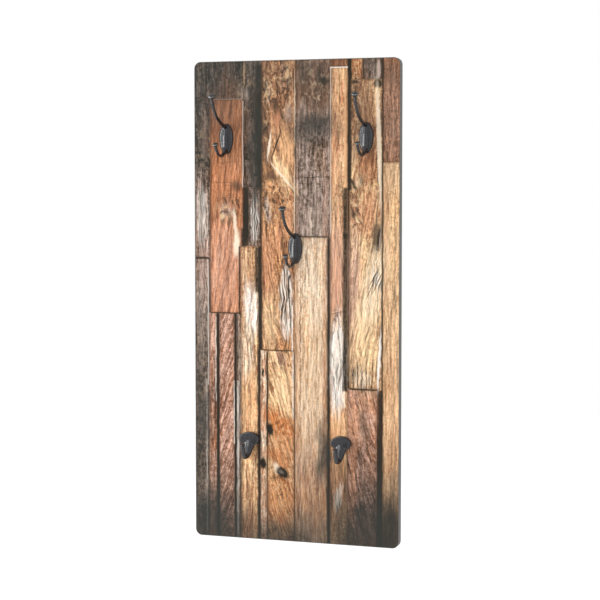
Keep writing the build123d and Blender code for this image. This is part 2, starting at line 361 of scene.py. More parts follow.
dark_tone = light_tone = TONES["soot"]
plank_numbers = put(tree, "ShaderNodeCombineXYZ").outputs[0]
depth = 0.0
for count, (left, right, top, bottom, dark, light, lean, wave) in enumerate(PLANKS):
    here, inward = area(left, right, top, bottom)
    dark_tone = blend(tree, here, dark_tone, TONES[dark])
    light_tone = blend(tree, here, light_tone, TONES[light])
    numbers = put(tree, "ShaderNodeMix", {0: here, 4: plank_numbers}, data_type="VECTOR")
    numbers.inputs[5].default_value = (SEED_STEP * (count + 1), lean, wave)
    plank_numbers = numbers.outputs[1]
    depth = put(tree, "ShaderNodeMix", {0: here, 2: depth, 3: inward}, data_type="FLOAT").outputs[0]
seed, slant, waviness = put(tree, "ShaderNodeSeparateXYZ", {0: plank_numbers}).outputs
print("planks:", len(PLANKS))

# %% [markdown]
# The grain is noise on stretched places. Dividing the distance down a plank by much more than the distance
# across it pulls every blotch into a streak. Three sizes add up: broad figure, streaks a few millimetres wide
# and fine fibres. A round, unstretched speckle breaks them up where the wood has weathered. Wavy planks are
# the most worn ones, so the same number sets how strongly the two tones part.

# %% Grain
BEND_STRAIGHT = 3.0
BEND_WAVY = 26.0
BEND_SCALE = (0.028, 0.011)
GRAIN_SPAN = (1.62, 2.08)
CALM_SPAN = 0.25
leaning = calc(tree, "ADD", across, times(down, slant))
bend_place = put(tree, "ShaderNodeCombineXYZ", {0: times(across, BEND_SCALE[0]),
                                               1: times(down, BEND_SCALE[1])}).outputs[0]
bend_reach = calc(tree, "ADD", times(waviness, BEND_WAVY), BEND_STRAIGHT)
bend = times(noise(tree, bend_place, 1.0, 3.0, seed=seed), bend_reach)
leaning = calc(tree, "ADD", leaning, bend)


def streaks(width, length, detail, rough=0.55, shift=0.0, aside=0.0):
    """Noise drawn out along the grain. A shift gives another pattern, aside reads it to one side."""
    beside = calc(tree, "ADD", leaning, aside)
    place = put(tree, "ShaderNodeCombineXYZ", {0: calc(tree, "DIVIDE", beside, width),
                                               1: calc(tree, "DIVIDE", down, length), 2: shift}).outputs[0]
    return noise(tree, place, 1.0, detail, rough, seed)


def total(*parts):
    """Adds values, each with its own weight."""
    sum_so_far = 0.0
    for value, weight in parts:
        sum_so_far = calc(tree, "ADD", sum_so_far, times(value, weight))
    return sum_so_far


figure = streaks(width=20.0, length=85.0, detail=3.0)
streak = streaks(width=7.0, length=60.0, detail=3.0, rough=0.65)
fibre = streaks(width=3.4, length=26.0, detail=2.0, rough=0.6)
speckle = noise(tree, sheet_place, 0.16, 4.0, 0.75, seed)
grain = total((figure, 0.8), (streak, 0.8), (fibre, 0.6), (speckle, 1.5))
wear = spread(tree, waviness, 0.05, 0.45, 0.72, 1.0)
calm = times(calc(tree, "SUBTRACT", 1.0, wear), CALM_SPAN)
darkest = calc(tree, "SUBTRACT", GRAIN_SPAN[0], calm)
lightest = calc(tree, "ADD", GRAIN_SPAN[1], calm)
wood = blend(tree, spread(tree, grain, darkest, lightest), dark_tone, light_tone)
print("nodes in the print so far:", len(tree.nodes))

# %% [markdown]
# Old wood isn't one colour along its length. Two more layers tint it: a slow warm blush, where it turns rusty
# or golden, and a grey-brown dirt in the low places. Both multiply the colour, as glazes do. Finer ones
# stand for pores, pits and fibres, which catch dirt or stand clean, most of all on worn planks.

# %% Blush, dirt and pores
GLAZES = {
    "blush": (1.0, 0.92, 0.82),
    "dirt": (0.66, 0.60, 0.56),
    "pores": (0.56, 0.48, 0.42),
    "pits": (0.58, 0.52, 0.48),
    "hairlines": (0.5, 0.44, 0.4),
    "plank edges": (0.45, 0.40, 0.36),
}
LEAST_PITS = 0.75


def glaze(amount, kind):
    """Multiplies the wood by a glaze's colour, as far as the amount says."""
    return blend(tree, amount, wood, blend(tree, 1.0, wood, GLAZES[kind] + (1.0,), "MULTIPLY"))


dirt = spread(tree, noise(tree, sheet_place, 0.055, 5.0, 0.68, seed), 0.52, 0.72)
pores = spread(tree, streaks(4.2, 22.0, 2.0, 0.6, shift=5.2), 0.47, 0.36)
pits = spread(tree, noise(tree, sheet_place, 0.3, 3.0, 0.6, seed), 0.48, 0.36)
clean = spread(tree, streaks(3.8, 26.0, 2.0, 0.6, shift=7.7), 0.55, 0.66, 0.0, 0.5)
wood = glaze(spread(tree, streaks(34.0, 95.0, 2.0, 0.5, shift=3.7), 0.44, 0.66), "blush")
wood = glaze(times(dirt, wear), "dirt")
wood = glaze(times(pores, wear), "pores")
wood = glaze(times(pits, calc(tree, "MAXIMUM", wear, LEAST_PITS)), "pits")
wood = blend(tree, times(clean, wear), wood, light_tone)
print("glazes:", ", ".join(GLAZES))

# %% [markdown]
# Dried-out wood has hairline cracks along the grain. They are contour lines: where a streaky noise crosses
# one of several even levels, a thin line is kept. A slower noise lets them come and go.

# %% Hairlines
def contours(value, levels, width):
    """Thin lines where a value crosses any of several even levels."""
    from_level = calc(tree, "PINGPONG", times(value, levels), 0.5)
    return spread(tree, from_level, width, 0.0)


hairlines = contours(streaks(11.0, 130.0, 2.0, 0.5, shift=9.1), 3.5, 0.17)
open_places = spread(tree, streaks(16.0, 60.0, 2.0, 0.5, shift=1.3), 0.46, 0.58)
wood = glaze(times(hairlines, open_places, wear), "hairlines")
print("nodes in the print with its hairlines:", len(tree.nodes))

# %% [markdown]
# The planks in the picture were lit from the left when they were photographed, so every ridge has a bright
# left side and a shaded right one. The sheet is flat, so this is printed too. Reading the same noise a little
# to the left and to the right and taking the difference gives the slope of the ridges.

# %% Printed relief
DEEPEST_SHADE = 0.4


def slope(width, length, reach, shift):
    """How steeply the ridges of one size rise from left to right."""
    left_height = streaks(width, length, 3.0, 0.6, shift, -reach)
    return calc(tree, "SUBTRACT", streaks(width, length, 3.0, 0.6, shift, reach), left_height)


relief = total((slope(12.0, 80.0, 1.6, 6.1), 2.7), (slope(5.0, 30.0, 0.9, 8.3), 2.8))
shading = calc(tree, "MAXIMUM", calc(tree, "ADD", times(relief, wear), 1.0), DEEPEST_SHADE)
print("ridges shaded down to a share of", DEEPEST_SHADE)

# %% [markdown]
# Next come the marks that make each plank its own: pale sapwood, worn patches, scorched and rusty zones.
# Each stain has its middle, half width and half height in millimetres, its tone, how strongly it covers the
# wood, a turn in degrees and how soft its rim is, as a share of its size. Stains are pushed along the grain
# by a streaky noise, so that their ends feather out as they do in wood.
#
# A long list of marks can be too much for the renderer: it works out every mask as early as it can and has
# room for about 250 numbers at a time. So the place that the marks are drawn on is tied to the wood so far by
# a term too small to see. Then each mask has to wait for its turn.

# %% Stains
STAINS = [
    (62, 30, 5, 34, "bark", 0.7, 0, 0.7),
    (100, 62, 14, 16, "driftwood", 0.45, 0, 0.7),
    (21, 150, 6, 26, "ash", 0.6, 0, 0.7),
    (10, 350, 14, 60, "rose", 0.4, 0, 0.7),
    (10, 470, 18, 110, "ash", 0.55, 0, 0.7),
    (12, 660, 7, 40, "ash", 0.6, 0, 0.7),
    (64, 105, 40, 66, "umber", 0.6, 0, 0.6),
    (60, 150, 34, 30, "chestnut", 0.6, 0, 0.7),
    (66, 230, 34, 46, "chestnut", 0.35, 0, 0.6),
    (56, 278, 22, 22, "bark", 0.5, 0, 0.8),
    (60, 390, 38, 80, "rose", 0.45, 0, 0.6),
    (112, 130, 8, 90, "bark", 0.4, 0, 0.7),
    (110, 395, 16, 40, "tan", 0.5, 0, 0.7),
    (113, 462, 13, 46, "bone", 0.95, 4, 0.5),
    (104, 550, 14, 60, "cream", 0.65, 0, 0.6),
    (110, 650, 18, 60, "honey", 0.8, 0, 0.5),
    (110, 770, 16, 26, "straw", 0.5, 0, 0.6),
    (110, 815, 18, 26, "honey", 0.5, 0, 0.6),
    (110, 872, 18, 34, "umber", 0.8, 0, 0.6),
    (165, 60, 40, 76, "umber", 0.85, 0, 0.5),
    (186, 24, 3, 26, "straw", 0.7, 14, 0.5),
    (145, 58, 4, 24, "straw", 0.6, 8, 0.6),
    (144, 150, 9, 60, "bark", 0.85, 0, 0.5),
    (183, 165, 14, 50, "honey", 0.8, 4, 0.5),
    (178, 212, 10, 38, "straw", 0.85, 36, 0.5),
    (160, 268, 32, 32, "umber", 0.45, 0, 0.6),
    (186, 296, 12, 30, "copper", 0.6, 0, 0.6),
    (168, 330, 9, 22, "copper", 0.9, 0, 0.6),
    (146, 385, 13, 60, "copper", 0.7, 0, 0.6),
    (150, 490, 16, 50, "straw", 0.75, 0, 0.6),
    (180, 620, 18, 44, "straw", 0.85, 0, 0.5),
    (172, 556, 9, 10, "rose", 0.7, 0, 0.6),
    (168, 676, 40, 18, "rust", 1.0, -30, 0.5),
    (176, 712, 30, 22, "rust", 0.6, -36, 0.6),
    (164, 742, 28, 13, "rust", 0.8, -30, 0.6),
    (172, 820, 28, 54, "rust", 0.7, 0, 0.6),
    (170, 822, 3.5, 22, "honey", 0.9, 8, 0.5),
    (170, 886, 36, 24, "bark", 0.6, 0, 0.6),
    (236, 50, 38, 62, "bark", 0.95, 0, 0.6),
    (214, 95, 8, 18, "driftwood", 0.5, 0, 0.7),
    (236, 300, 34, 50, "driftwood", 0.3, 0, 0.7),
    (204, 560, 4, 250, "copper", 0.5, 0, 0.8),
    (234, 440, 9, 120, "cream", 0.5, 0, 0.8),
    (250, 460, 4, 130, "cream", 0.5, 0, 0.8),
    (232, 610, 34, 120, "tan", 0.5, 0, 0.7),
    (232, 820, 40, 110, "umber", 0.85, 0, 0.7),
    (258, 600, 5, 320, "chestnut", 0.6, 0, 0.8),
    (276, 150, 8, 150, "copper", 0.5, 0, 0.8),
    (284, 268, 12, 26, "umber", 0.5, 0, 0.7),
    (281, 400, 18, 95, "rose", 0.8, 0, 0.6),
    (279, 395, 11, 80, "chestnut", 0.45, 0, 0.8),
    (282, 565, 16, 86, "bone", 1.3, 0, 0.4),
    (284, 690, 18, 40, "honey", 0.8, 0, 0.6),
    (283, 800, 22, 54, "bark", 0.9, 0, 0.5),
    (330, 120, 24, 80, "umber", 0.8, 0, 0.6),
    (318, 80, 9, 40, "bark", 0.7, 0, 0.7),
    (338, 200, 20, 26, "chestnut", 0.6, 0, 0.6),
    (320, 258, 13, 15, "bark", 0.8, 0, 0.7),
    (334, 285, 30, 40, "copper", 0.7, 0, 0.6),
    (314, 420, 12, 120, "rose", 0.7, 0, 0.7),
    (349, 415, 22, 98, "straw", 1.4, -10, 0.5),
    (351, 415, 18, 80, "cream", 0.7, -10, 0.6),
    (338, 545, 30, 66, "straw", 0.95, 0, 0.6),
    (330, 650, 26, 40, "copper", 0.6, 0, 0.7),
    (343, 660, 16, 7, "rose", 0.8, -34, 0.6),
    (312, 735, 7, 90, "copper", 0.7, 0, 0.6),
    (384, 20, 20, 30, "char", 0.6, 0, 0.7),
    (384, 110, 22, 90, "ash", 0.45, 0, 0.7),
    (374, 330, 4, 140, "copper", 0.5, 0, 0.8),
    (384, 680, 20, 170, "copper", 0.4, 0, 0.7),
    (384, 880, 24, 64, "bark", 1.1, 0, 0.6),
]
FEATHER = 60.0
TOO_SMALL_TO_SEE = (0.000001, 0.000001, 0.0)
feather = times(calc(tree, "SUBTRACT", streaks(3.4, 110.0, 3.0, 0.6, shift=2.9), 0.5), FEATHER)
feathered = vector(tree, "ADD", wander(sheet_place, 0.06, (9.0, 10.0, 0.0)),
                   put(tree, "ShaderNodeCombineXYZ", {1: feather}).outputs[0])


def settled(place):
    """The same place, but known only once the wood so far is finished."""
    return vector(tree, "ADD", place, vector(tree, "MULTIPLY", wood, TOO_SMALL_TO_SEE))


stain_place = settled(wander(feathered, 0.25, (3.5, 4.0, 0.0)))


def stain(x, y, half_width, half_height, strength, turn, soft, on):
    """The mask of a ragged oval. A positive turn leans its foot to the right."""
    made = put(tree, "ShaderNodeGroup", node_tree=stain_group)
    tree.links.new(on, made.inputs[0])
    values = ((x, y, 0), (half_width, half_height, 1), radians(turn), soft, strength)
    for socket, value in zip(list(made.inputs)[1:], values):
        socket.default_value = value
    return made.outputs[0]


cover = spread(tree, total((streak, 0.8), (fibre, 0.7), (speckle, 0.8)), 0.9, 1.45, 0.35, 1.25)
for x, y, half_width, half_height, tone, strength, turn, soft in STAINS:
    ragged = stain(x, y, half_width, half_height, strength, turn, soft, stain_place)
    covered = calc(tree, "MULTIPLY", ragged, cover, clamp=True)
    wood = blend(tree, covered, wood, TONES[tone])
grey = put(tree, "ShaderNodeCombineColor", {0: shading, 1: shading, 2: shading}).outputs[0]
wood = blend(tree, 1.0, wood, grey, "MULTIPLY")
print("stains:", len(STAINS))

# %% [markdown]
# In a few places the wood has weathered until it split: pale, washed-out wood between black, flowing cracks.
# The cracks are contour lines too, of a noise that follows the length of the board and not the slant of the
# grain. Each split zone is one more ragged oval, and all zones share one set of lines.

# %% Splits
SPLITS = [
    (182, 448, 15, 80, 1.0, 0, 0.5),
    (146, 278, 11, 30, 0.68, 0, 0.6),
    (178, 30, 16, 40, 0.55, 0, 0.6),
    (146, 60, 10, 34, 0.6, 0, 0.6),
    (64, 282, 22, 22, 0.68, 0, 0.7),
    (104, 60, 18, 22, 0.6, 0, 0.7),
    (120, 292, 10, 54, 0.85, 0, 0.5),
    (14, 290, 16, 76, 0.74, 0, 0.6),
    (283, 550, 13, 75, 0.75, 0, 0.5),
    (284, 812, 10, 38, 0.75, -8, 0.6),
    (328, 588, 26, 26, 0.66, 0, 0.5),
    (357, 405, 9, 26, 0.8, 16, 0.5),
    (322, 226, 14, 14, 0.6, 0, 0.6),
    (88, 700, 6, 190, 0.6, 0, 0.5),
    (112, 520, 14, 60, 0.5, 0, 0.6),
    (172, 775, 26, 30, 0.4, 0, 0.7),
]
CRACK_LEVELS = 6.0
CRACK_STRENGTH = 1.1


def zones(rows, on):
    """Many ragged ovals as one mask: at each point, the strongest of them."""
    strongest = 0.0
    for row in rows:
        strongest = calc(tree, "MAXIMUM", strongest, stain(*row, on))
    return strongest


split = zones(SPLITS, stain_place)
washed = times(spread(tree, split, 0.45, 0.95), spread(tree, fibre, 0.36, 0.56, 0.35, 1.0))
wood = blend(tree, washed, wood, blend(tree, 0.75, light_tone, TONES["bone"]))
straight = put(tree, "ShaderNodeMapping", {"Vector": wander(sheet_place, 0.022, (14.0, 0.0, 0.0)),
                                           "Scale": (0.1, 0.0062, 1.0)}).outputs[0]
flow_lines = noise(tree, straight, 1.0, 2.0, 0.45, seed)
crack_width = spread(tree, fibre, 0.35, 0.6, 0.14, 0.42)
cracks = times(contours(flow_lines, CRACK_LEVELS, crack_width), split)
wood = blend(tree, calc(tree, "MULTIPLY", cracks, CRACK_STRENGTH, clamp=True), wood, TONES["soot"])
print("split zones:", len(SPLITS))

# %% [markdown]
# Round knots the grain turns into burl: small swirls with dark hollows, bright crests and black rings. Burl
# has no long direction, so it is a nearly round noise on a swirled place. Its low values are hollows, its
# high values crests, and its contour lines are the rings.

# %% Burls
BURLS = [
    (166, 44, 36, 66, 1.0, 0, 0.5),
    (148, 132, 14, 40, 0.8, 0, 0.6),
    (158, 262, 30, 44, 1.0, 0, 0.5),
    (238, 46, 34, 52, 0.6, 0, 0.6),
    (70, 274, 26, 24, 1.0, 0, 0.6),
    (316, 282, 17, 46, 0.9, 0, 0.6),
    (284, 262, 12, 34, 0.6, 0, 0.6),
    (356, 326, 9, 34, 0.9, 0, 0.5),
    (318, 100, 12, 60, 0.6, 0, 0.6),
    (104, 58, 16, 34, 0.7, 0, 0.6),
    (18, 160, 16, 44, 0.5, 0, 0.7),
    (168, 692, 24, 30, 0.6, 0, 0.6),
    (168, 790, 26, 40, 0.6, 0, 0.6),
    (326, 660, 26, 50, 0.45, 0, 0.6),
    (14, 700, 14, 190, 0.5, 0, 0.6),
    (284, 480, 14, 20, 0.7, 0, 0.6),
    (174, 558, 20, 16, 0.6, 0, 0.6),
]
knot_place = settled(wander(wander(sheet_place, 0.09, (4.0, 4.0, 0.0)), 0.4, (2.0, 2.2, 0.0)))
swirl = put(tree, "ShaderNodeMapping", {"Vector": wander(sheet_place, 0.05, (18.0, 24.0, 0.0)),
                                        "Scale": (0.15, 0.085, 1.0)}).outputs[0]
burl = noise(tree, swirl, 1.0, 3.0, 0.62, seed)
burled = zones(BURLS, knot_place)
crests = spread(tree, burl, 0.53, 0.61, 0.0, 0.9)
hollows = spread(tree, burl, 0.47, 0.39, 0.0, 0.9)
rings = contours(burl, 5.0, 0.13)
crest_tone = blend(tree, 0.5, light_tone, TONES["straw"])
for mask, strength, tone in ((crests, 0.95, crest_tone), (hollows, 0.95, TONES["char"]),
                             (rings, 0.6, TONES["soot"])):
    wood = blend(tree, times(burled, mask, strength), wood, tone)
print("burls:", len(BURLS))

# %% [markdown]
# Knots, holes, single cracks and pale strips keep a clear outline, so they are ovals on a place that is only
# a little disturbed. They go over the splits and burls.

# %% Knots and strips
KNOTS = [
    (99.5, 26, 1.4, 26, "straw", 0.7, 0, 0.5),
    (84, 233, 11, 9, "char", 0.75, 0, 0.7),
    (66, 189, 26, 0.7, "bark", 0.7, 4, 0.6),
    (62, 226, 28, 0.8, "bark", 0.7, -3, 0.6),
    (60, 255, 24, 0.7, "bark", 0.6, 2, 0.6),
    (55, 290, 4, 6, "straw", 0.65, 0, 0.6),
    (70, 298, 2.6, 9, "bark", 0.75, -20, 0.6),
    (61, 281, 3, 5, "bark", 0.75, 15, 0.6),
    (84, 342, 6, 22, "cream", 0.9, -4, 0.4),
    (81, 306, 3.2, 30, "cream", 0.8, 4, 0.5),
    (162, 88, 6, 9, "char", 0.7, 20, 0.6),
    (177, 104, 5, 6, "char", 0.6, 0, 0.6),
    (149, 158, 2.4, 26, "cream", 0.85, -8, 0.5),
    (178, 36, 4, 7, "soot", 0.6, 20, 0.6),
    (172, 98, 2, 12, "soot", 0.7, 10, 0.6),
    (186, 98, 7, 16, "driftwood", 0.45, 0, 0.7),
    (165, 112, 6, 18, "copper", 0.6, -10, 0.6),
    (174, 214, 2.2, 31, "cream", 0.8, 42, 0.5),
    (158, 318, 1.4, 24, "char", 0.75, 8, 0.5),
    (163, 156, 1.7, 30, "soot", 0.95, -20, 0.5),
    (150, 215, 13, 9, "char", 0.75, 0, 0.7),
    (143, 126, 3, 5, "soot", 0.8, -30, 0.5),
    (188, 440, 1.5, 70, "soot", 0.9, 3, 0.5),
    (136, 583, 2.2, 8, "soot", 1.0, 0, 0.3),
    (172, 556, 3, 11, "bark", 0.8, 10, 0.6),
    (150, 690, 6.5, 12, "soot", 1.0, 10, 0.4),
    (136, 755, 6, 11, "soot", 1.0, 0, 0.4),
    (164, 763, 5, 11, "cream", 0.8, 22, 0.5),
    (175, 771, 14, 8.5, "soot", 1.0, -38, 0.3),
    (172, 769, 6, 3, "ash", 0.55, -38, 0.6),
    (255, 40, 8, 7, "soot", 0.85, 0, 0.6),
    (236, 217, 30, 0.7, "soot", 0.7, 2, 0.6),
    (209.5, 560, 0.8, 190, "bark", 0.9, 0, 0.5),
    (297, 170, 2.6, 150, "honey", 0.8, 0, 0.6),
    (282, 467, 13, 1.0, "bark", 0.8, 12, 0.6),
    (359, 20, 3.4, 18, "driftwood", 0.9, 0, 0.4),
    (358, 47, 8, 8, "soot", 0.95, 0, 0.4),
    (315, 43, 7, 2.6, "soot", 0.85, 0, 0.5),
    (361, 165, 4.2, 112, "cream", 0.8, 2.2, 0.4),
    (357, 325, 8, 28, "char", 0.85, -5, 0.6),
    (361, 330, 4, 20, "soot", 0.85, -5, 0.5),
    (363, 330, 1.2, 20, "driftwood", 0.8, -5, 0.5),
    (362, 552, 2.6, 54, "bone", 0.95, -3, 0.4),
    (352, 400, 1.3, 22, "soot", 0.75, -28, 0.5),
    (359, 408, 1.2, 20, "soot", 0.75, -25, 0.5),
    (346, 420, 1.0, 20, "char", 0.75, -25, 0.5),
    (312, 588, 0.9, 26, "soot", 0.9, 0, 0.5),
    (321, 584, 1.0, 32, "soot", 0.9, 1, 0.5),
    (329, 591, 0.9, 24, "soot", 0.9, -1, 0.5),
    (338, 587, 0.9, 30, "soot", 0.9, 0, 0.5),
    (349, 580, 0.9, 34, "soot", 0.9, -2, 0.5),
    (311, 228, 3, 12, "soot", 0.8, 30, 0.5),
    (313, 286, 5, 9, "soot", 0.8, 25, 0.6),
    (319, 294, 2.6, 7, "straw", 0.75, 25, 0.6),
    (321, 280, 2.2, 10, "char", 0.75, 30, 0.6),
    (326, 300, 1.6, 12, "char", 0.6, 35, 0.6),
    (199, 100, 1.2, 66, "cream", 0.85, 0, 0.5),
    (199, 172, 1.8, 12, "soot", 0.9, 0, 0.5),
    (198.5, 258, 1.2, 76, "cream", 0.85, 0, 0.5),
    (392, 156, 5, 6, "bark", 0.9, 0, 0.5),
]
for x, y, half_width, half_height, tone, strength, turn, soft in KNOTS:
    outlined = stain(x, y, half_width, half_height, strength, turn, soft, knot_place)
    wood = blend(tree, outlined, wood, TONES[tone])
print("knots and strips:", len(KNOTS))

# %% [markdown]
# Dark gaps between the planks and thin bright edges go over all of these marks. They are areas too, only
# narrow. First, each plank is shaded a little along its own edges. A gap gets a soft rim, which reads as the
# shadow that one plank throws on the next. Worn edges come and go along their length, so the streaks thin
# them out.

# %% Gaps and bright edges
GAPS = [
    (43, 49, 474, 905, 1.6),
    (79, 83, 472, 905, 1.3),
    (92, 103, 312, 347, 4.5),
    (88, 92, 346, 474, 1.4),
    (98, 106, 236, 330, 4.0),
    (121, 135, 6, 238, 5.0),
    (121, 134, 346, 432, 3.0),
    (127, 135, 425, 541, 2.2),
    (125, 131, 541, 905, 1.8),
    (143, 146, 545, 720, 1.0),
    (197.5, 199, 545, 905, 0.9),
    (261.5, 267.5, 330, 905, 2.8),
    (301, 308, 0, 240, 2.2),
    (292, 301, 236, 330, 2.8),
    (292, 301, 320, 612, 2.6),
    (366, 369, 0, 905, 1.2),
    (361, 367, 612, 905, 4.2),
    (203, 266, 326, 328, 1.2),
    (0, 28, 367, 371, 1.5),
    (32, 90, 471, 473, 1.0),
    (303, 358, 606, 609, 1.2),
    (133, 198, 539, 541, 0.9),
]
BRIGHT_EDGES = [
    (25.5, 27.5, 372, 610, 0.6),
    (22.4, 24.2, 600, 890, 0.6),
    (96, 97.6, 74, 235, 0.6),
    (268, 301, 15, 17, 0.9),
    (267.6, 269, 15, 320, 0.6),
    (77.4, 79, 600, 720, 0.7),
    (41, 42.5, 480, 640, 0.6),
    (33, 96, 69.6, 70.8, 0.3),
    (193, 195.5, 455, 540, 0.8),
    (194, 197, 545, 668, 0.5),
    (84, 88, 600, 900, 0.4),
]
edge_shade = spread(tree, depth, 0.0, 1.0, 0.55, 0.0)
wood = glaze(edge_shade, "plank edges")
shadow = spread(tree, total((fibre, 0.5), (speckle, 0.5)), 0.4, 0.58, 1.0, 0.86)
gap_place = settled(plank_place)
for left, right, top, bottom, soft in GAPS:
    gap = times(area(left, right, top, bottom, soft, gap_place)[0], shadow)
    wood = blend(tree, gap, wood, TONES["soot"])
worn = spread(tree, fibre, 0.32, 0.58, 0.45, 1.1)
for left, right, top, bottom, strength in BRIGHT_EDGES:
    rim = times(area(left, right, top, bottom, EDGE_SOFT, gap_place)[0], worn)
    wood = blend(tree, calc(tree, "MULTIPLY", rim, strength, clamp=True), wood, TONES["bone"])
print("gaps:", len(GAPS), "bright edges:", len(BRIGHT_EDGES))

# %% [markdown]
# The print is smoked in places: at its upper left corner, at the foot and along some joints. That is part of
# the printed picture, so it belongs in the colour and not in the lamps. Smoke has no grain, so these are soft
# ovals on a place that only a slow noise disturbs, and they veil whatever lies under them.

# %% Smoke
SMOKE_TONE = (62, 63, 60)
DENSEST_SMOKE = 0.93
SMOKE = [
    (10, 40, 90, 120, 0.62, 0, 0.9),
    (60, 10, 100, 60, 0.55, 0, 0.9),
    (122, 110, 16, 160, 0.7, 0, 0.7),
    (12, 130, 22, 90, 0.5, 0, 0.8),
    (8, 720, 22, 190, 0.8, 0, 0.8),
    (236, 124, 42, 27, 0.85, 10, 0.8),
    (214, 22, 16, 26, 0.6, 0, 0.8),
    (252, 32, 14, 18, 0.6, 0, 0.8),
    (232, 30, 36, 40, 0.2, 0, 0.9),
    (254, 735, 13, 56, 0.9, 0, 0.8),
    (333, 675, 9, 24, 0.55, 0, 0.8),
    (333, 735, 10, 28, 0.6, 0, 0.8),
    (342, 795, 14, 36, 0.6, 0, 0.8),
    (326, 110, 18, 80, 0.28, 0, 0.9),
    (342, 912, 54, 142, 1.12, 0, 0.75),
    (325, 925, 95, 115, 1.0, 0, 0.75),
    (384, 905, 44, 128, 1.08, 0, 0.85),
    (20, 918, 92, 124, 1.12, 0, 0.75),
    (190, 930, 140, 76, 0.98, 0, 0.75),
]
smoke = zones(SMOKE, wander(sheet_place, 0.02, (30.0, 40.0, 0.0)))
thickness = spread(tree, speckle, 0.3, 0.62, 1.08, 0.92)
veil = calc(tree, "MINIMUM", times(smoke, thickness), DENSEST_SMOKE)
wood = blend(tree, veil, wood, ink(SMOKE_TONE))
print("smoked zones:", len(SMOKE))

# %% [markdown]
# A matt lacquer closes the print. It scatters what it mirrors, so the planks keep their colour even when the
# board is seen along its face. A fine pebble keeps the little shine that is left from being quite even.

# %% Lacquer
LACQUER_SHINE = 0.12
LACQUER_PEBBLE = 900.0
pebble = noise(tree, object_place, LACQUER_PEBBLE, 2.0)
surface(tree, print_shader, wood, roughness=spread(tree, pebble, 0.3, 0.7, 0.62, 0.7))
print_shader.inputs["Specular IOR Level"].default_value = LACQUER_SHINE
dress(["printed_face"], print_material)

# %% [markdown]
# Behind the print is fibreboard: a felt of tan fibres with darker specks, matt and a little rough. The side
# of the board is closed by a dark plastic band, with the fine pebble that such bands have so that they
# don't shine.

# %% Fibreboard and edge band
core_material, tree, shader, place = start_material("fibreboard", roughness=0.85)
felt = noise(tree, place, 220.0, 5.0, 0.7)
specks = spread(tree, noise(tree, place, 1400.0, 1.0), 0.62, 0.72, 0.0, 0.5)
tan_felt = mottle(tree, spread(tree, felt, 0.3, 0.7), (168, 133, 98), (198, 164, 126))
surface(tree, shader, blend(tree, specks, tan_felt, linear((112, 82, 58))), bump=(felt, 0.25, 0.4 * MM))
dress(["board_core"], core_material)

band_material, tree, shader, place = start_material("edge_band", roughness=0.5)
pebble = noise(tree, place, 1600.0, 3.0, 0.6)
surface(tree, shader, mottle(tree, pebble, (78, 74, 70), (98, 93, 88)),
        roughness=spread(tree, pebble, 0.3, 0.7, 0.42, 0.58), bump=(pebble, 0.3, 0.2 * MM))
dress(["edge_band"], band_material)

# %% [markdown]
# The hooks are castings with a satin black coat. The coat is near black with a slight cool tint, a little
# lighter where it has flowed thin, and it has the faint unevenness of a sprayed coat over a casting. A plain
# black would do from afar, but near by it would look like plastic.

# %% Black coat
coat_material, tree, coat_shader, coat_place = start_material("black_coat", roughness=0.3)
flow = noise(tree, coat_place, 160.0, 3.0, 0.55)
coat_colour = mottle(tree, spread(tree, flow, 0.3, 0.7), (32, 32, 36), (42, 42, 46))
coat_roughness = spread(tree, noise(tree, coat_place, 420.0, 2.0), 0.3, 0.7, 0.23, 0.3)
peel = noise(tree, coat_place, 520.0, 2.0)
surface(tree, coat_shader, coat_colour, coat_roughness, bump=(peel, 0.05, 0.3 * MM))
coat_shader.inputs["Specular IOR Level"].default_value = 0.5
print(coat_material.name, "drawn with", len(tree.nodes), "nodes")

# %% [markdown]
# A cast hook has no sharp joints: plate, rib, arm and prong run into each other. That is hard to model as
# one grid of faces, and easy as clay: put simple closed forms through each other, let a voxel remesh turn
# them into one skin, and smooth the skin so that every joint gets a fillet. The forms are stacks of rings.
# In these functions a hook has its own millimetre frame: x across, out from the board, and z up.

# %% Ring stacks and plates
RING_POINTS = 32
PLATE_POINTS = 64
BEHIND = -3.0


def stack(clay, rings):
    """Joins closed rings of points into one closed form."""
    loops = [[clay.verts.new((x * MM, -out * MM, z * MM)) for x, out, z in ring] for ring in rings]
    for lower, upper in zip(loops, loops[1:]):
        for here in range(len(lower)):
            onward = (here + 1) % len(lower)
            clay.faces.new((lower[here], lower[onward], upper[onward], upper[here]))
    clay.faces.new(loops[0][::-1])
    clay.faces.new(loops[-1])


def turns_of(points):
    """The angles of evenly spaced points on a ring."""
    return [2 * pi * point / points for point in range(points)]


def egg(width, height, bluntness, turn):
    """A point on an oval outline that can be fuller above its middle than below it."""
    fullness = 1 + bluntness * sin(turn) * abs(cos(turn))
    return width / 2 * cos(turn) * fullness, height / 2 * sin(turn)


def plate(clay, width, height, bluntness, rim):
    """A plate with a shaped rim: each rim step gives how far in it lies and how far out it stands."""
    turns = turns_of(PLATE_POINTS)
    rings = []
    for inset, out in rim:
        outline = [egg(width - 2 * inset, height - 2 * inset, bluntness, turn) for turn in turns]
        rings.append([(x, out, z) for x, z in outline])
    stack(clay, rings)


print("rings of", RING_POINTS, "points, plates of", PLATE_POINTS)

# %% [markdown]
# Arms and prongs are bars along a path that curves out from the board and up. A path is a chain of Bezier
# curves in the upright plane, and the bar's section is an oval ring set square to it at every step. A button
# cap is the same thing again, turned about the last direction of its path. The rib on a plate is a stack of
# level rings, each with a low crest.

# %% Paths, bars, caps and ribs
CURVE_STEPS = 24
CREST_STEPS = [(1.0, 0.46), (0.75, 0.31), (0.5, 0.19), (0.25, 0.085), (0.05, 0.0)]


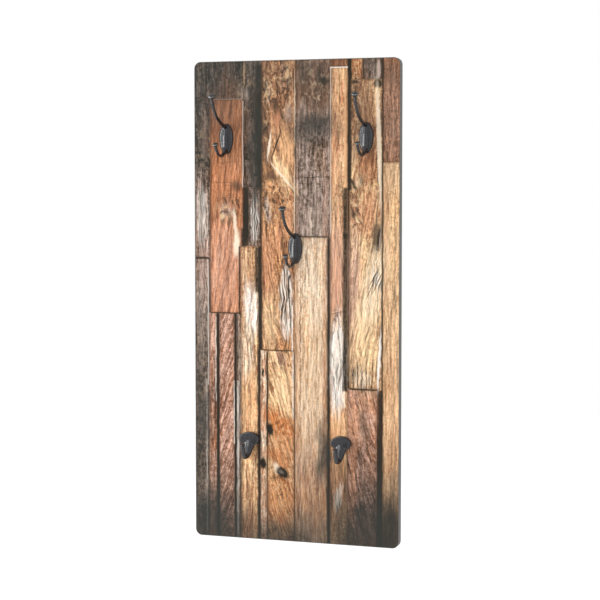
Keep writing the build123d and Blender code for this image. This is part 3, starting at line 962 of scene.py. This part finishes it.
def curve(*knots):
    """Points along joined curves. Each knot is a place with the handle that the curve leaves by."""
    points = []
    for (start, leave), (end, arrive) in zip(knots, knots[1:]):
        handles = [Vector(start), Vector(start) + Vector(leave), Vector(end) - Vector(arrive), Vector(end)]
        run = interpolate_bezier(*[handle.to_3d() for handle in handles], CURVE_STEPS)
        points += [(point.x, point.y) for point in run][1 if points else 0:]
    return points


def tip(path):
    """The end of a path and the direction that it runs out in."""
    end, before = Vector(path[-1]), Vector(path[-2])
    return end, (end - before).normalized()


def ring_across(out, z, along, half_width, half_depth):
    """An oval ring about a point, square to a direction in the upright plane."""
    ring = []
    for turn in turns_of(RING_POINTS):
        lift = half_depth * sin(turn)
        ring.append((half_width * cos(turn), out - along.y * lift, z + along.x * lift))
    return ring


def limb(clay, path, sizes):
    """A bar of oval section along a path of (out, z) points, with half widths and half depths along it."""
    rings = []
    for step, (out, z) in enumerate(path):
        before = path[max(step - 1, 0)]
        after = path[min(step + 1, len(path) - 1)]
        along = Vector((after[0] - before[0], after[1] - before[1])).normalized()
        share = step / (len(path) - 1) * (len(sizes) - 1)
        start = min(int(share), len(sizes) - 2)
        mix = share - start
        halves = [a + (b - a) * mix for a, b in zip(sizes[start], sizes[start + 1])]
        rings.append(ring_across(out, z, along, *halves))
    stack(clay, rings)


def button(clay, path, radius, profile):
    """A button cap on the end of a path, turned about the path's last direction."""
    end, along = tip(path)
    rings = []
    for rise, share in profile:
        middle = end + along * rise * radius
        rings.append(ring_across(middle.x, middle.y, along, share * radius, share * radius))
    stack(clay, rings)


def ridge(clay, stations):
    """A rib with two long sides that meet in a crest: each station gives its z, half width and crest."""
    rings = []
    for z, half_width, crest in stations:
        side = [(-share * half_width, crest - drop * half_width) for share, drop in CREST_STEPS]
        side = [(-half_width, BEHIND)] + side
        rings.append([(x, out, z) for x, out in side + [(-x, out) for x, out in side[::-1]]])
    stack(clay, rings)


print("paths have", CURVE_STEPS, "points to a curve")

# %% [markdown]
# Firing turns the clay into one skin. A voxel remesh joins the forms, some rounds of smoothing round every
# joint, and a straight cut gives the flat back that lies on the board. The plates reach a little behind the
# cut, so that the smoothing doesn't round their back edge.

# %% Fire the clay
CLAY_VOXEL = 0.5 * MM
SMOOTHING = 0.5
MOST_CORNERS = 4


def linked(name, mesh):
    """A new object in the scene."""
    made = bpy.data.objects.new(name, mesh)
    bpy.context.scene.collection.objects.link(made)
    return made


def shaped(lump):
    """The mesh of an object as its modifiers leave it."""
    return bpy.data.meshes.new_from_object(lump.evaluated_get(bpy.context.evaluated_depsgraph_get()))


def fired(clay, name, rounds):
    """Turns overlapping forms into one smooth skin, flat at the back where it meets the board."""
    rough_mesh = bpy.data.meshes.new(name + "_clay")
    clay.to_mesh(rough_mesh)
    clay.free()
    lump = linked(name + "_clay", rough_mesh)
    union = lump.modifiers.new("union", "REMESH")
    union.mode = "VOXEL"
    union.voxel_size = CLAY_VOXEL
    fillet = lump.modifiers.new("fillet", "SMOOTH")
    fillet.factor = SMOOTHING
    fillet.iterations = rounds
    skin = shaped(lump)
    bpy.data.objects.remove(lump)
    cut = bmesh.new()
    cut.from_mesh(skin)
    everything = cut.verts[:] + cut.edges[:] + cut.faces[:]
    bmesh.ops.bisect_plane(cut, geom=everything, plane_co=(0, 0, 0), plane_no=(0, 1, 0), clear_outer=True)
    bmesh.ops.holes_fill(cut, edges=[edge for edge in cut.edges if edge.is_boundary], sides=0)
    # Only faces at the cut, the back among them, can have more corners, and they stay flat.
    for face in cut.faces:
        face.smooth = len(face.verts) <= MOST_CORNERS
    cut.to_mesh(skin)
    cut.free()
    skin.name = name
    print(name, "skin has", len(skin.polygons), "faces")
    return skin


# %% [markdown]
# The double hook: an egg-shaped domed plate, a slim rib from its top that swells into the root of the lower
# prong, the prong curling out and up to a small button, and the long upper arm rising to a larger button.

# %% Double hook
BUTTON = [(-0.4, 0.40), (0.05, 0.48), (0.3, 0.72), (0.55, 0.95), (0.75, 1.04), (0.95, 1.04),
          (1.15, 0.93), (1.33, 0.72), (1.45, 0.45), (1.5, 0.2)]
ARM_CAP = 6.4
PRONG_CAP = 4.9
DOME = [(0.0, BEHIND), (0.0, 0.6), (0.5, 1.9), (1.6, 3.2), (3.4, 4.4), (6.0, 5.2), (10.0, 5.8)]

clay = bmesh.new()
plate(clay, width=27.9, height=57.6, bluntness=0.07, rim=DOME)
ridge(clay, [(23.0, 2.4, 5.4), (16.0, 3.0, 7.6), (6.0, 4.8, 9.8), (-4.0, 5.6, 10.2), (-17.0, 5.6, 10.2),
             (-22.0, 4.8, 9.6), (-26.0, 3.4, 7.0)])
prong = curve(((1.0, -4.0), (1.6, -9.0)), ((9.5, -23.5), (5.0, -6.5)), ((30.0, -32.5), (8.0, 0.0)),
              ((57.4, -15.6), (4.0, 11.0)))
limb(clay, prong, [(3.0, 5.0), (4.0, 5.4), (4.2, 5.0), (3.4, 3.8), (3.0, 3.1), (2.8, 2.8), (2.7, 2.7),
                   (2.6, 2.6)])
button(clay, prong, PRONG_CAP, BUTTON)
arm = curve(((1.5, 21.0), (38.8, 8.6)), ((75.1, 70.1), (8.6, 28.7)))
limb(clay, arm, [(3.6, 4.2), (3.2, 3.4), (3.0, 3.0), (2.9, 2.9), (2.8, 2.8), (2.7, 2.7)])
button(clay, arm, ARM_CAP, BUTTON)
double_skin = fired(clay, "double_hook", rounds=14)

# %% [markdown]
# The single hook: a flat oval plate that lies across, a broad neck that tapers below it and one prong.

# %% Single hook
NECK_CAP = 4.6
SLAB = [(0.0, BEHIND), (0.0, 4.6), (0.35, 5.8), (1.1, 6.7), (2.4, 7.2), (6.0, 7.3)]

clay = bmesh.new()
plate(clay, width=39.7, height=26.9, bluntness=0.0, rim=SLAB)
neck = curve(((1.4, 1.0), (0.6, -9.0)), ((12.5, -23.0), (4.5, -7.0)), ((26.5, -31.4), (7.0, 0.0)),
             ((41.5, -9.8), (2.6, 10.0)))
limb(clay, neck, [(12.5, 5.6), (10.8, 5.6), (8.0, 5.2), (6.0, 4.4), (4.9, 3.7), (4.3, 3.2), (3.9, 2.9)])
button(clay, neck, NECK_CAP, BUTTON)
single_skin = fired(clay, "single_hook", rounds=6)

# %% [markdown]
# The rims of the double hooks' caps get a painted highlight: a band of light grey, partly metallic, that
# stands for the bright line of light along each rim. The band is found by distance: near a cap's middle, and
# close to the plane of its rim.

# %% Painted rim highlights
RIM_RISE = 0.85
# The colour and the metal share of the painted highlight along the cap rims.
HIGHLIGHT_GREY = (128, 128, 124)
HIGHLIGHT_METALLIC = 0.5
tree = coat_material.node_tree
painted_rim_bands = 0.0
for path, radius in ((arm, ARM_CAP), (prong, PRONG_CAP)):
    end, along = tip(path)
    middle = (end + along * RIM_RISE * radius) * MM
    from_cap = vector(tree, "SUBTRACT", coat_place, (0.0, -middle.x, middle.y))
    height = vector(tree, "DOT_PRODUCT", from_cap, (0.0, -along.x, along.y))
    band = spread(tree, calc(tree, "ABSOLUTE", height), 1.1 * MM, 0.5 * MM)
    near = spread(tree, vector(tree, "LENGTH", from_cap), 1.5 * radius * MM, 1.3 * radius * MM)
    painted_rim_bands = calc(tree, "MAXIMUM", painted_rim_bands, calc(tree, "MULTIPLY", band, near))
# A noise breaks the painted highlight up a little along each rim.
painted_highlight = spread(tree, noise(tree, coat_place, 700.0, 3.0), 0.3, 0.5, 0.5, 1.0)
painted_highlight = calc(tree, "MULTIPLY", painted_rim_bands, painted_highlight)
surface(tree, coat_shader, blend(tree, painted_highlight, coat_colour, linear(HIGHLIGHT_GREY)))
tree.links.new(calc(tree, "MULTIPLY", painted_highlight, HIGHLIGHT_METALLIC), coat_shader.inputs["Metallic"])
# The bands on the caps are a painted highlight, not worn coat.
print("worn rims on the caps of the double hooks")

# %% [markdown]
# Each skin is used for all hooks of its kind. The CAD hook's box says where it goes: its middle across the
# board, its back on the print and its foot level with the foot of the CAD hook.

# %% Hang the hooks
def in_mm(length):
    return round(length / MM, 1)


def foot_of(skin):
    return min(vertex.co.z for vertex in skin.vertices)


def hang(skin, kind, places):
    """Hangs one skin at each of the places that have a hook of its kind."""
    for where in places:
        node = f"{where}_{kind}"
        low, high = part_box(node)
        piece = linked(f"cast_{node}", skin)
        piece.location = ((low.x + high.x) / 2, high.y, low.z - foot_of(skin))
        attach(piece, "root")
        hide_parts(node)
        print(node, "CAD height", in_mm(high.z - low.z), "mm, reach", in_mm(high.y - low.y))


for skin in (double_skin, single_skin):
    skin.materials.clear()
    skin.materials.append(coat_material)
    top = max(vertex.co.z for vertex in skin.vertices)
    reach = -min(vertex.co.y for vertex in skin.vertices)
    print(skin.name, "height", in_mm(top - foot_of(skin)), "mm, reach", in_mm(reach))
hang(double_skin, "double_hook", ("top_left", "top_right", "centre"))
hang(single_skin, "single_hook", ("lower_left", "lower_right"))

# %% [markdown]
# The hangers and screws on the back are bright zinc-plated steel. Zinc plate has fine rolled lines from the
# sheet under it and a cloudy, slightly bluish tone.

# %% Zinc plate
ROLLED_LINES = (1600.0, 1600.0, 60.0)
zinc_material, tree, shader, place = start_material("zinc_plate", roughness=0.35, metallic=1.0)
rolled = noise(tree, vector(tree, "MULTIPLY", place, ROLLED_LINES), 1.0, 3.0, 0.6)
cloud = noise(tree, place, 90.0, 3.0)
surface(tree, shader, mottle(tree, cloud, (158, 161, 165), (190, 191, 191)),
        roughness=spread(tree, rolled, 0.25, 0.75, 0.26, 0.44), bump=(rolled, 0.15, 0.1 * MM))
dress([name for name in nodes if "screws" in name or "hanger" in name], zinc_material)

# %% [markdown]
# The hooks are held from behind by hexagon-head screws, and the hangers by small pan-head screws. The CAD
# screws are plain prisms and discs, so finer ones take their place. Both kinds are turned forms: rings about
# a line that runs straight out of the board. The threads are hidden in the wood, so the shanks stay plain.

# %% Turned forms
TURN_POINTS = 48
SHARP_ANGLE = radians(30)


def turned_form(clay, x, z, profile, outline=None):
    """A form turned about a line straight out of the board, from (out, radius) steps."""
    turns = turns_of(TURN_POINTS)
    rings = []
    for out, radius in profile:
        radii = [min(radius, outline(turn)) if outline else radius for turn in turns]
        rings.append([(x + r * cos(turn), out, z + r * sin(turn)) for r, turn in zip(radii, turns)])
    stack(clay, rings)


def mesh_of(clay, name):
    """A mesh from finished clay, with its faces turned outwards."""
    bmesh.ops.recalc_face_normals(clay, faces=clay.faces)
    made = bpy.data.meshes.new(name)
    clay.to_mesh(made)
    clay.free()
    return made


def fasten(node, mesh):
    """Puts finer screws in the place of a CAD node's plain ones."""
    mesh.materials.clear()
    mesh.materials.append(zinc_material)
    mesh.shade_smooth()
    mesh.set_sharp_from_angle(angle=SHARP_ANGLE)
    piece = linked(mesh.name, mesh)
    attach(piece, "root")
    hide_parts(node)
    print(piece.name, "has", len(mesh.polygons), "faces")


print("turned forms have", TURN_POINTS, "points to a ring")

# %% [markdown]
# Real hexagon heads are pressed cold, and their corners are trimmed by a cone, which leaves the arched edge
# that the eye expects. A turned cone gives that, if every ring is also trimmed to a hexagon.

# %% Hexagon screws
HEX_FLATS = 7.0
HEX_PROFILE = [(2.7, 3.25), (2.78, 3.39), (2.86, 3.53), (2.95, 3.68), (3.05, 3.86), (3.17, 4.05), (5.3, 4.05),
               (5.5, 3.75), (5.5, 2.0), (25.0, 2.0), (25.5, 1.5)]


def hexagon(turn):
    """How far a hexagon reaches at an angle."""
    return HEX_FLATS / 2 / cos(turn % (pi / 3) - pi / 6)


for node in [name for name in nodes if name.endswith("hook_screws")]:
    low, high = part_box(node)
    rises = {round(low.z / MM + HEX_FLATS / 2, 2), round(high.z / MM - HEX_FLATS / 2, 2)}
    clay = bmesh.new()
    for rise in sorted(rises):
        turned_form(clay, (low.x + high.x) / 2 / MM, rise, HEX_PROFILE, hexagon)
    fasten(node, mesh_of(clay, f"hexagon_{node}"))

# %% [markdown]
# A pan head is domed and has a cross for the driver. The cross is pressed in with a Boolean modifier: a
# tapered cross is cut out of each turned head.

# %% Pan-head screws
PAN_PITCH = 57.0
PAN_PROFILE = [(2.1, 0.6), (2.12, 1.2), (2.25, 2.0), (2.5, 2.7), (2.9, 3.15), (3.4, 3.28), (4.3, 3.28),
               (4.3, 1.75), (13.0, 1.75), (16.6, 0.6), (17.3, 0.15)]
CROSS_STEPS = [(1.6, 1.95, 0.55), (3.5, 0.9, 0.3)]
QUARTER_TURNS = [(1, 0), (0, 1), (-1, 0), (0, -1)]


def cross(clay, x, z):
    """The tapered cross that is pressed into a pan head."""
    rings = []
    for out, long, wide in CROSS_STEPS:
        arm_end = [(long, -wide), (long, wide), (wide, wide)]
        corners = [(a * c - b * d, a * d + b * c) for c, d in QUARTER_TURNS for a, b in arm_end]
        rings.append([(x + right, out, z + up) for right, up in corners])
    stack(clay, rings)


for node in [name for name in nodes if name.endswith("hanger_screws")]:
    low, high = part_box(node)
    middle = (low + high) / 2 / MM
    clay, cutter = bmesh.new(), bmesh.new()
    for rise in (middle.z - PAN_PITCH / 2, middle.z + PAN_PITCH / 2):
        turned_form(clay, middle.x, rise, PAN_PROFILE)
        cross(cutter, middle.x, rise)
    blank = linked("blank", mesh_of(clay, f"blank_{node}"))
    crosses = linked("crosses", mesh_of(cutter, f"crosses_{node}"))
    press = blank.modifiers.new("press", "BOOLEAN")
    press.object = crosses
    press.operation = "DIFFERENCE"
    press.solver = "EXACT"
    pressed = shaped(blank)
    pressed.name = f"pan_{node}"
    for lump in (blank, crosses):
        bpy.data.objects.remove(lump)
    fasten(node, pressed)

# %% [markdown]
# The bumpers are squares of dense foam rubber that keep the board off the wall. Foam is matt and full of
# small cells, which a cell noise gives.

# %% Bumpers
foam_material, tree, shader, place = start_material("foam_bumper", roughness=0.9)
cells = put(tree, "ShaderNodeTexVoronoi", {"Vector": place, "Scale": 1300.0}).outputs["Distance"]
surface(tree, shader, mottle(tree, cells, (30, 30, 31), (58, 58, 60)), bump=(cells, 0.5, 0.4 * MM))
dress([name for name in nodes if "bumper" in name], foam_material)

# %% [markdown]
# The stage is a pale floor well below the rack, which hangs at wall height, and an even white surround. To
# the camera, to reflections and to light that passes through, the surround is plain white and the floor is
# lifted to white by a glow that is added to its own light, so that it still darkens a little in the rack's
# shadow.

# %% Floor
FLOOR_DROP = 0.75
FLOOR_HALF = 7.0
FLOOR_GLOW = 0.6
WHITE = (1, 1, 1, 1)


def white_to_camera(tree, lit, white, output):
    """Shows white to the camera, to reflections and through glass, and the lit surface to other rays."""
    path = put(tree, "ShaderNodeLightPath")
    seen = calc(tree, "MAXIMUM", path.outputs["Is Camera Ray"], path.outputs["Is Glossy Ray"])
    seen = calc(tree, "MAXIMUM", seen, path.outputs["Is Transmission Ray"])
    choice = put(tree, "ShaderNodeMixShader", {0: seen, 1: lit, 2: white})
    tree.links.new(choice.outputs[0], output)


floor_mesh = bpy.data.meshes.new("floor")
corners = [(x * FLOOR_HALF, y * FLOOR_HALF, 0) for x, y in ((-1, -1), (1, -1), (1, 1), (-1, 1))]
floor_mesh.from_pydata(corners, [], [(0, 1, 2, 3)])
floor = linked("floor", floor_mesh)
floor.location = (0, 0, board_low.z - FLOOR_DROP)
floor_material, tree, shader, place = start_material("pale_floor", roughness=0.8)
surface(tree, shader, mottle(tree, noise(tree, place, 6.0), (236, 236, 236), (244, 244, 244)))
glow = put(tree, "ShaderNodeEmission", {"Color": WHITE, "Strength": FLOOR_GLOW})
lifted = put(tree, "ShaderNodeAddShader", {0: shader.outputs[0], 1: glow.outputs[0]})
white_to_camera(tree, shader.outputs[0], lifted.outputs[0], tree.nodes["Material Output"].inputs[0])
floor_mesh.materials.append(floor_material)
print("floor at z =", round(floor.location.z, 3))

# %% [markdown]
# The surround lights the rack evenly from all sides, as the white walls of a studio do. It is weaker than the
# white that the camera sees, so that the lamps still give the hooks their shape.

# %% Surround
SURROUND_STRENGTH = 0.5
world = bpy.data.worlds.new("surround")
bpy.context.scene.world = world
world.use_nodes = True
tree = world.node_tree
soft = tree.nodes["Background"]
soft.inputs["Color"].default_value = WHITE
soft.inputs["Strength"].default_value = SURROUND_STRENGTH
plain = put(tree, "ShaderNodeBackground", {"Color": WHITE, "Strength": 1.0})
white_to_camera(tree, soft.outputs[0], plain.outputs[0], tree.nodes["World Output"].inputs[0])
print("surround of strength", SURROUND_STRENGTH)

# %% [markdown]
# Three lamps do the rest: a large one to the left of the camera, a weak one to the right, and a tall strip
# far to the left, which draws the bright line along the hooks' ribs. Their places are metres from the middle
# of the face, and each lamp looks at it. The Standard view shows the colours about as they are written.

# %% Lamps
LAMPS = [
    ("left_softbox", (-1.5, -2.2, 1.2), (1.0, 1.8), 30.0),
    ("right_softbox", (2.0, -1.8, 0.7), (0.8, 1.6), 5.0),
    ("left_strip", (-1.92, -0.86, 0.1), (0.4, 1.6), 30.0),
]
for name, from_face, size, power in LAMPS:
    lamp = bpy.data.lights.new(name, "AREA")
    lamp.shape = "RECTANGLE"
    lamp.size, lamp.size_y = size
    lamp.energy = power
    stand = linked(name, lamp)
    stand.location = face_centre + Vector(from_face)
    stand.rotation_euler = (-Vector(from_face)).to_track_quat("-Z", "Y").to_euler()
    print(name, "at", [round(value, 2) for value in stand.location], power, "W")
bpy.context.scene.view_settings.view_transform = "Standard"
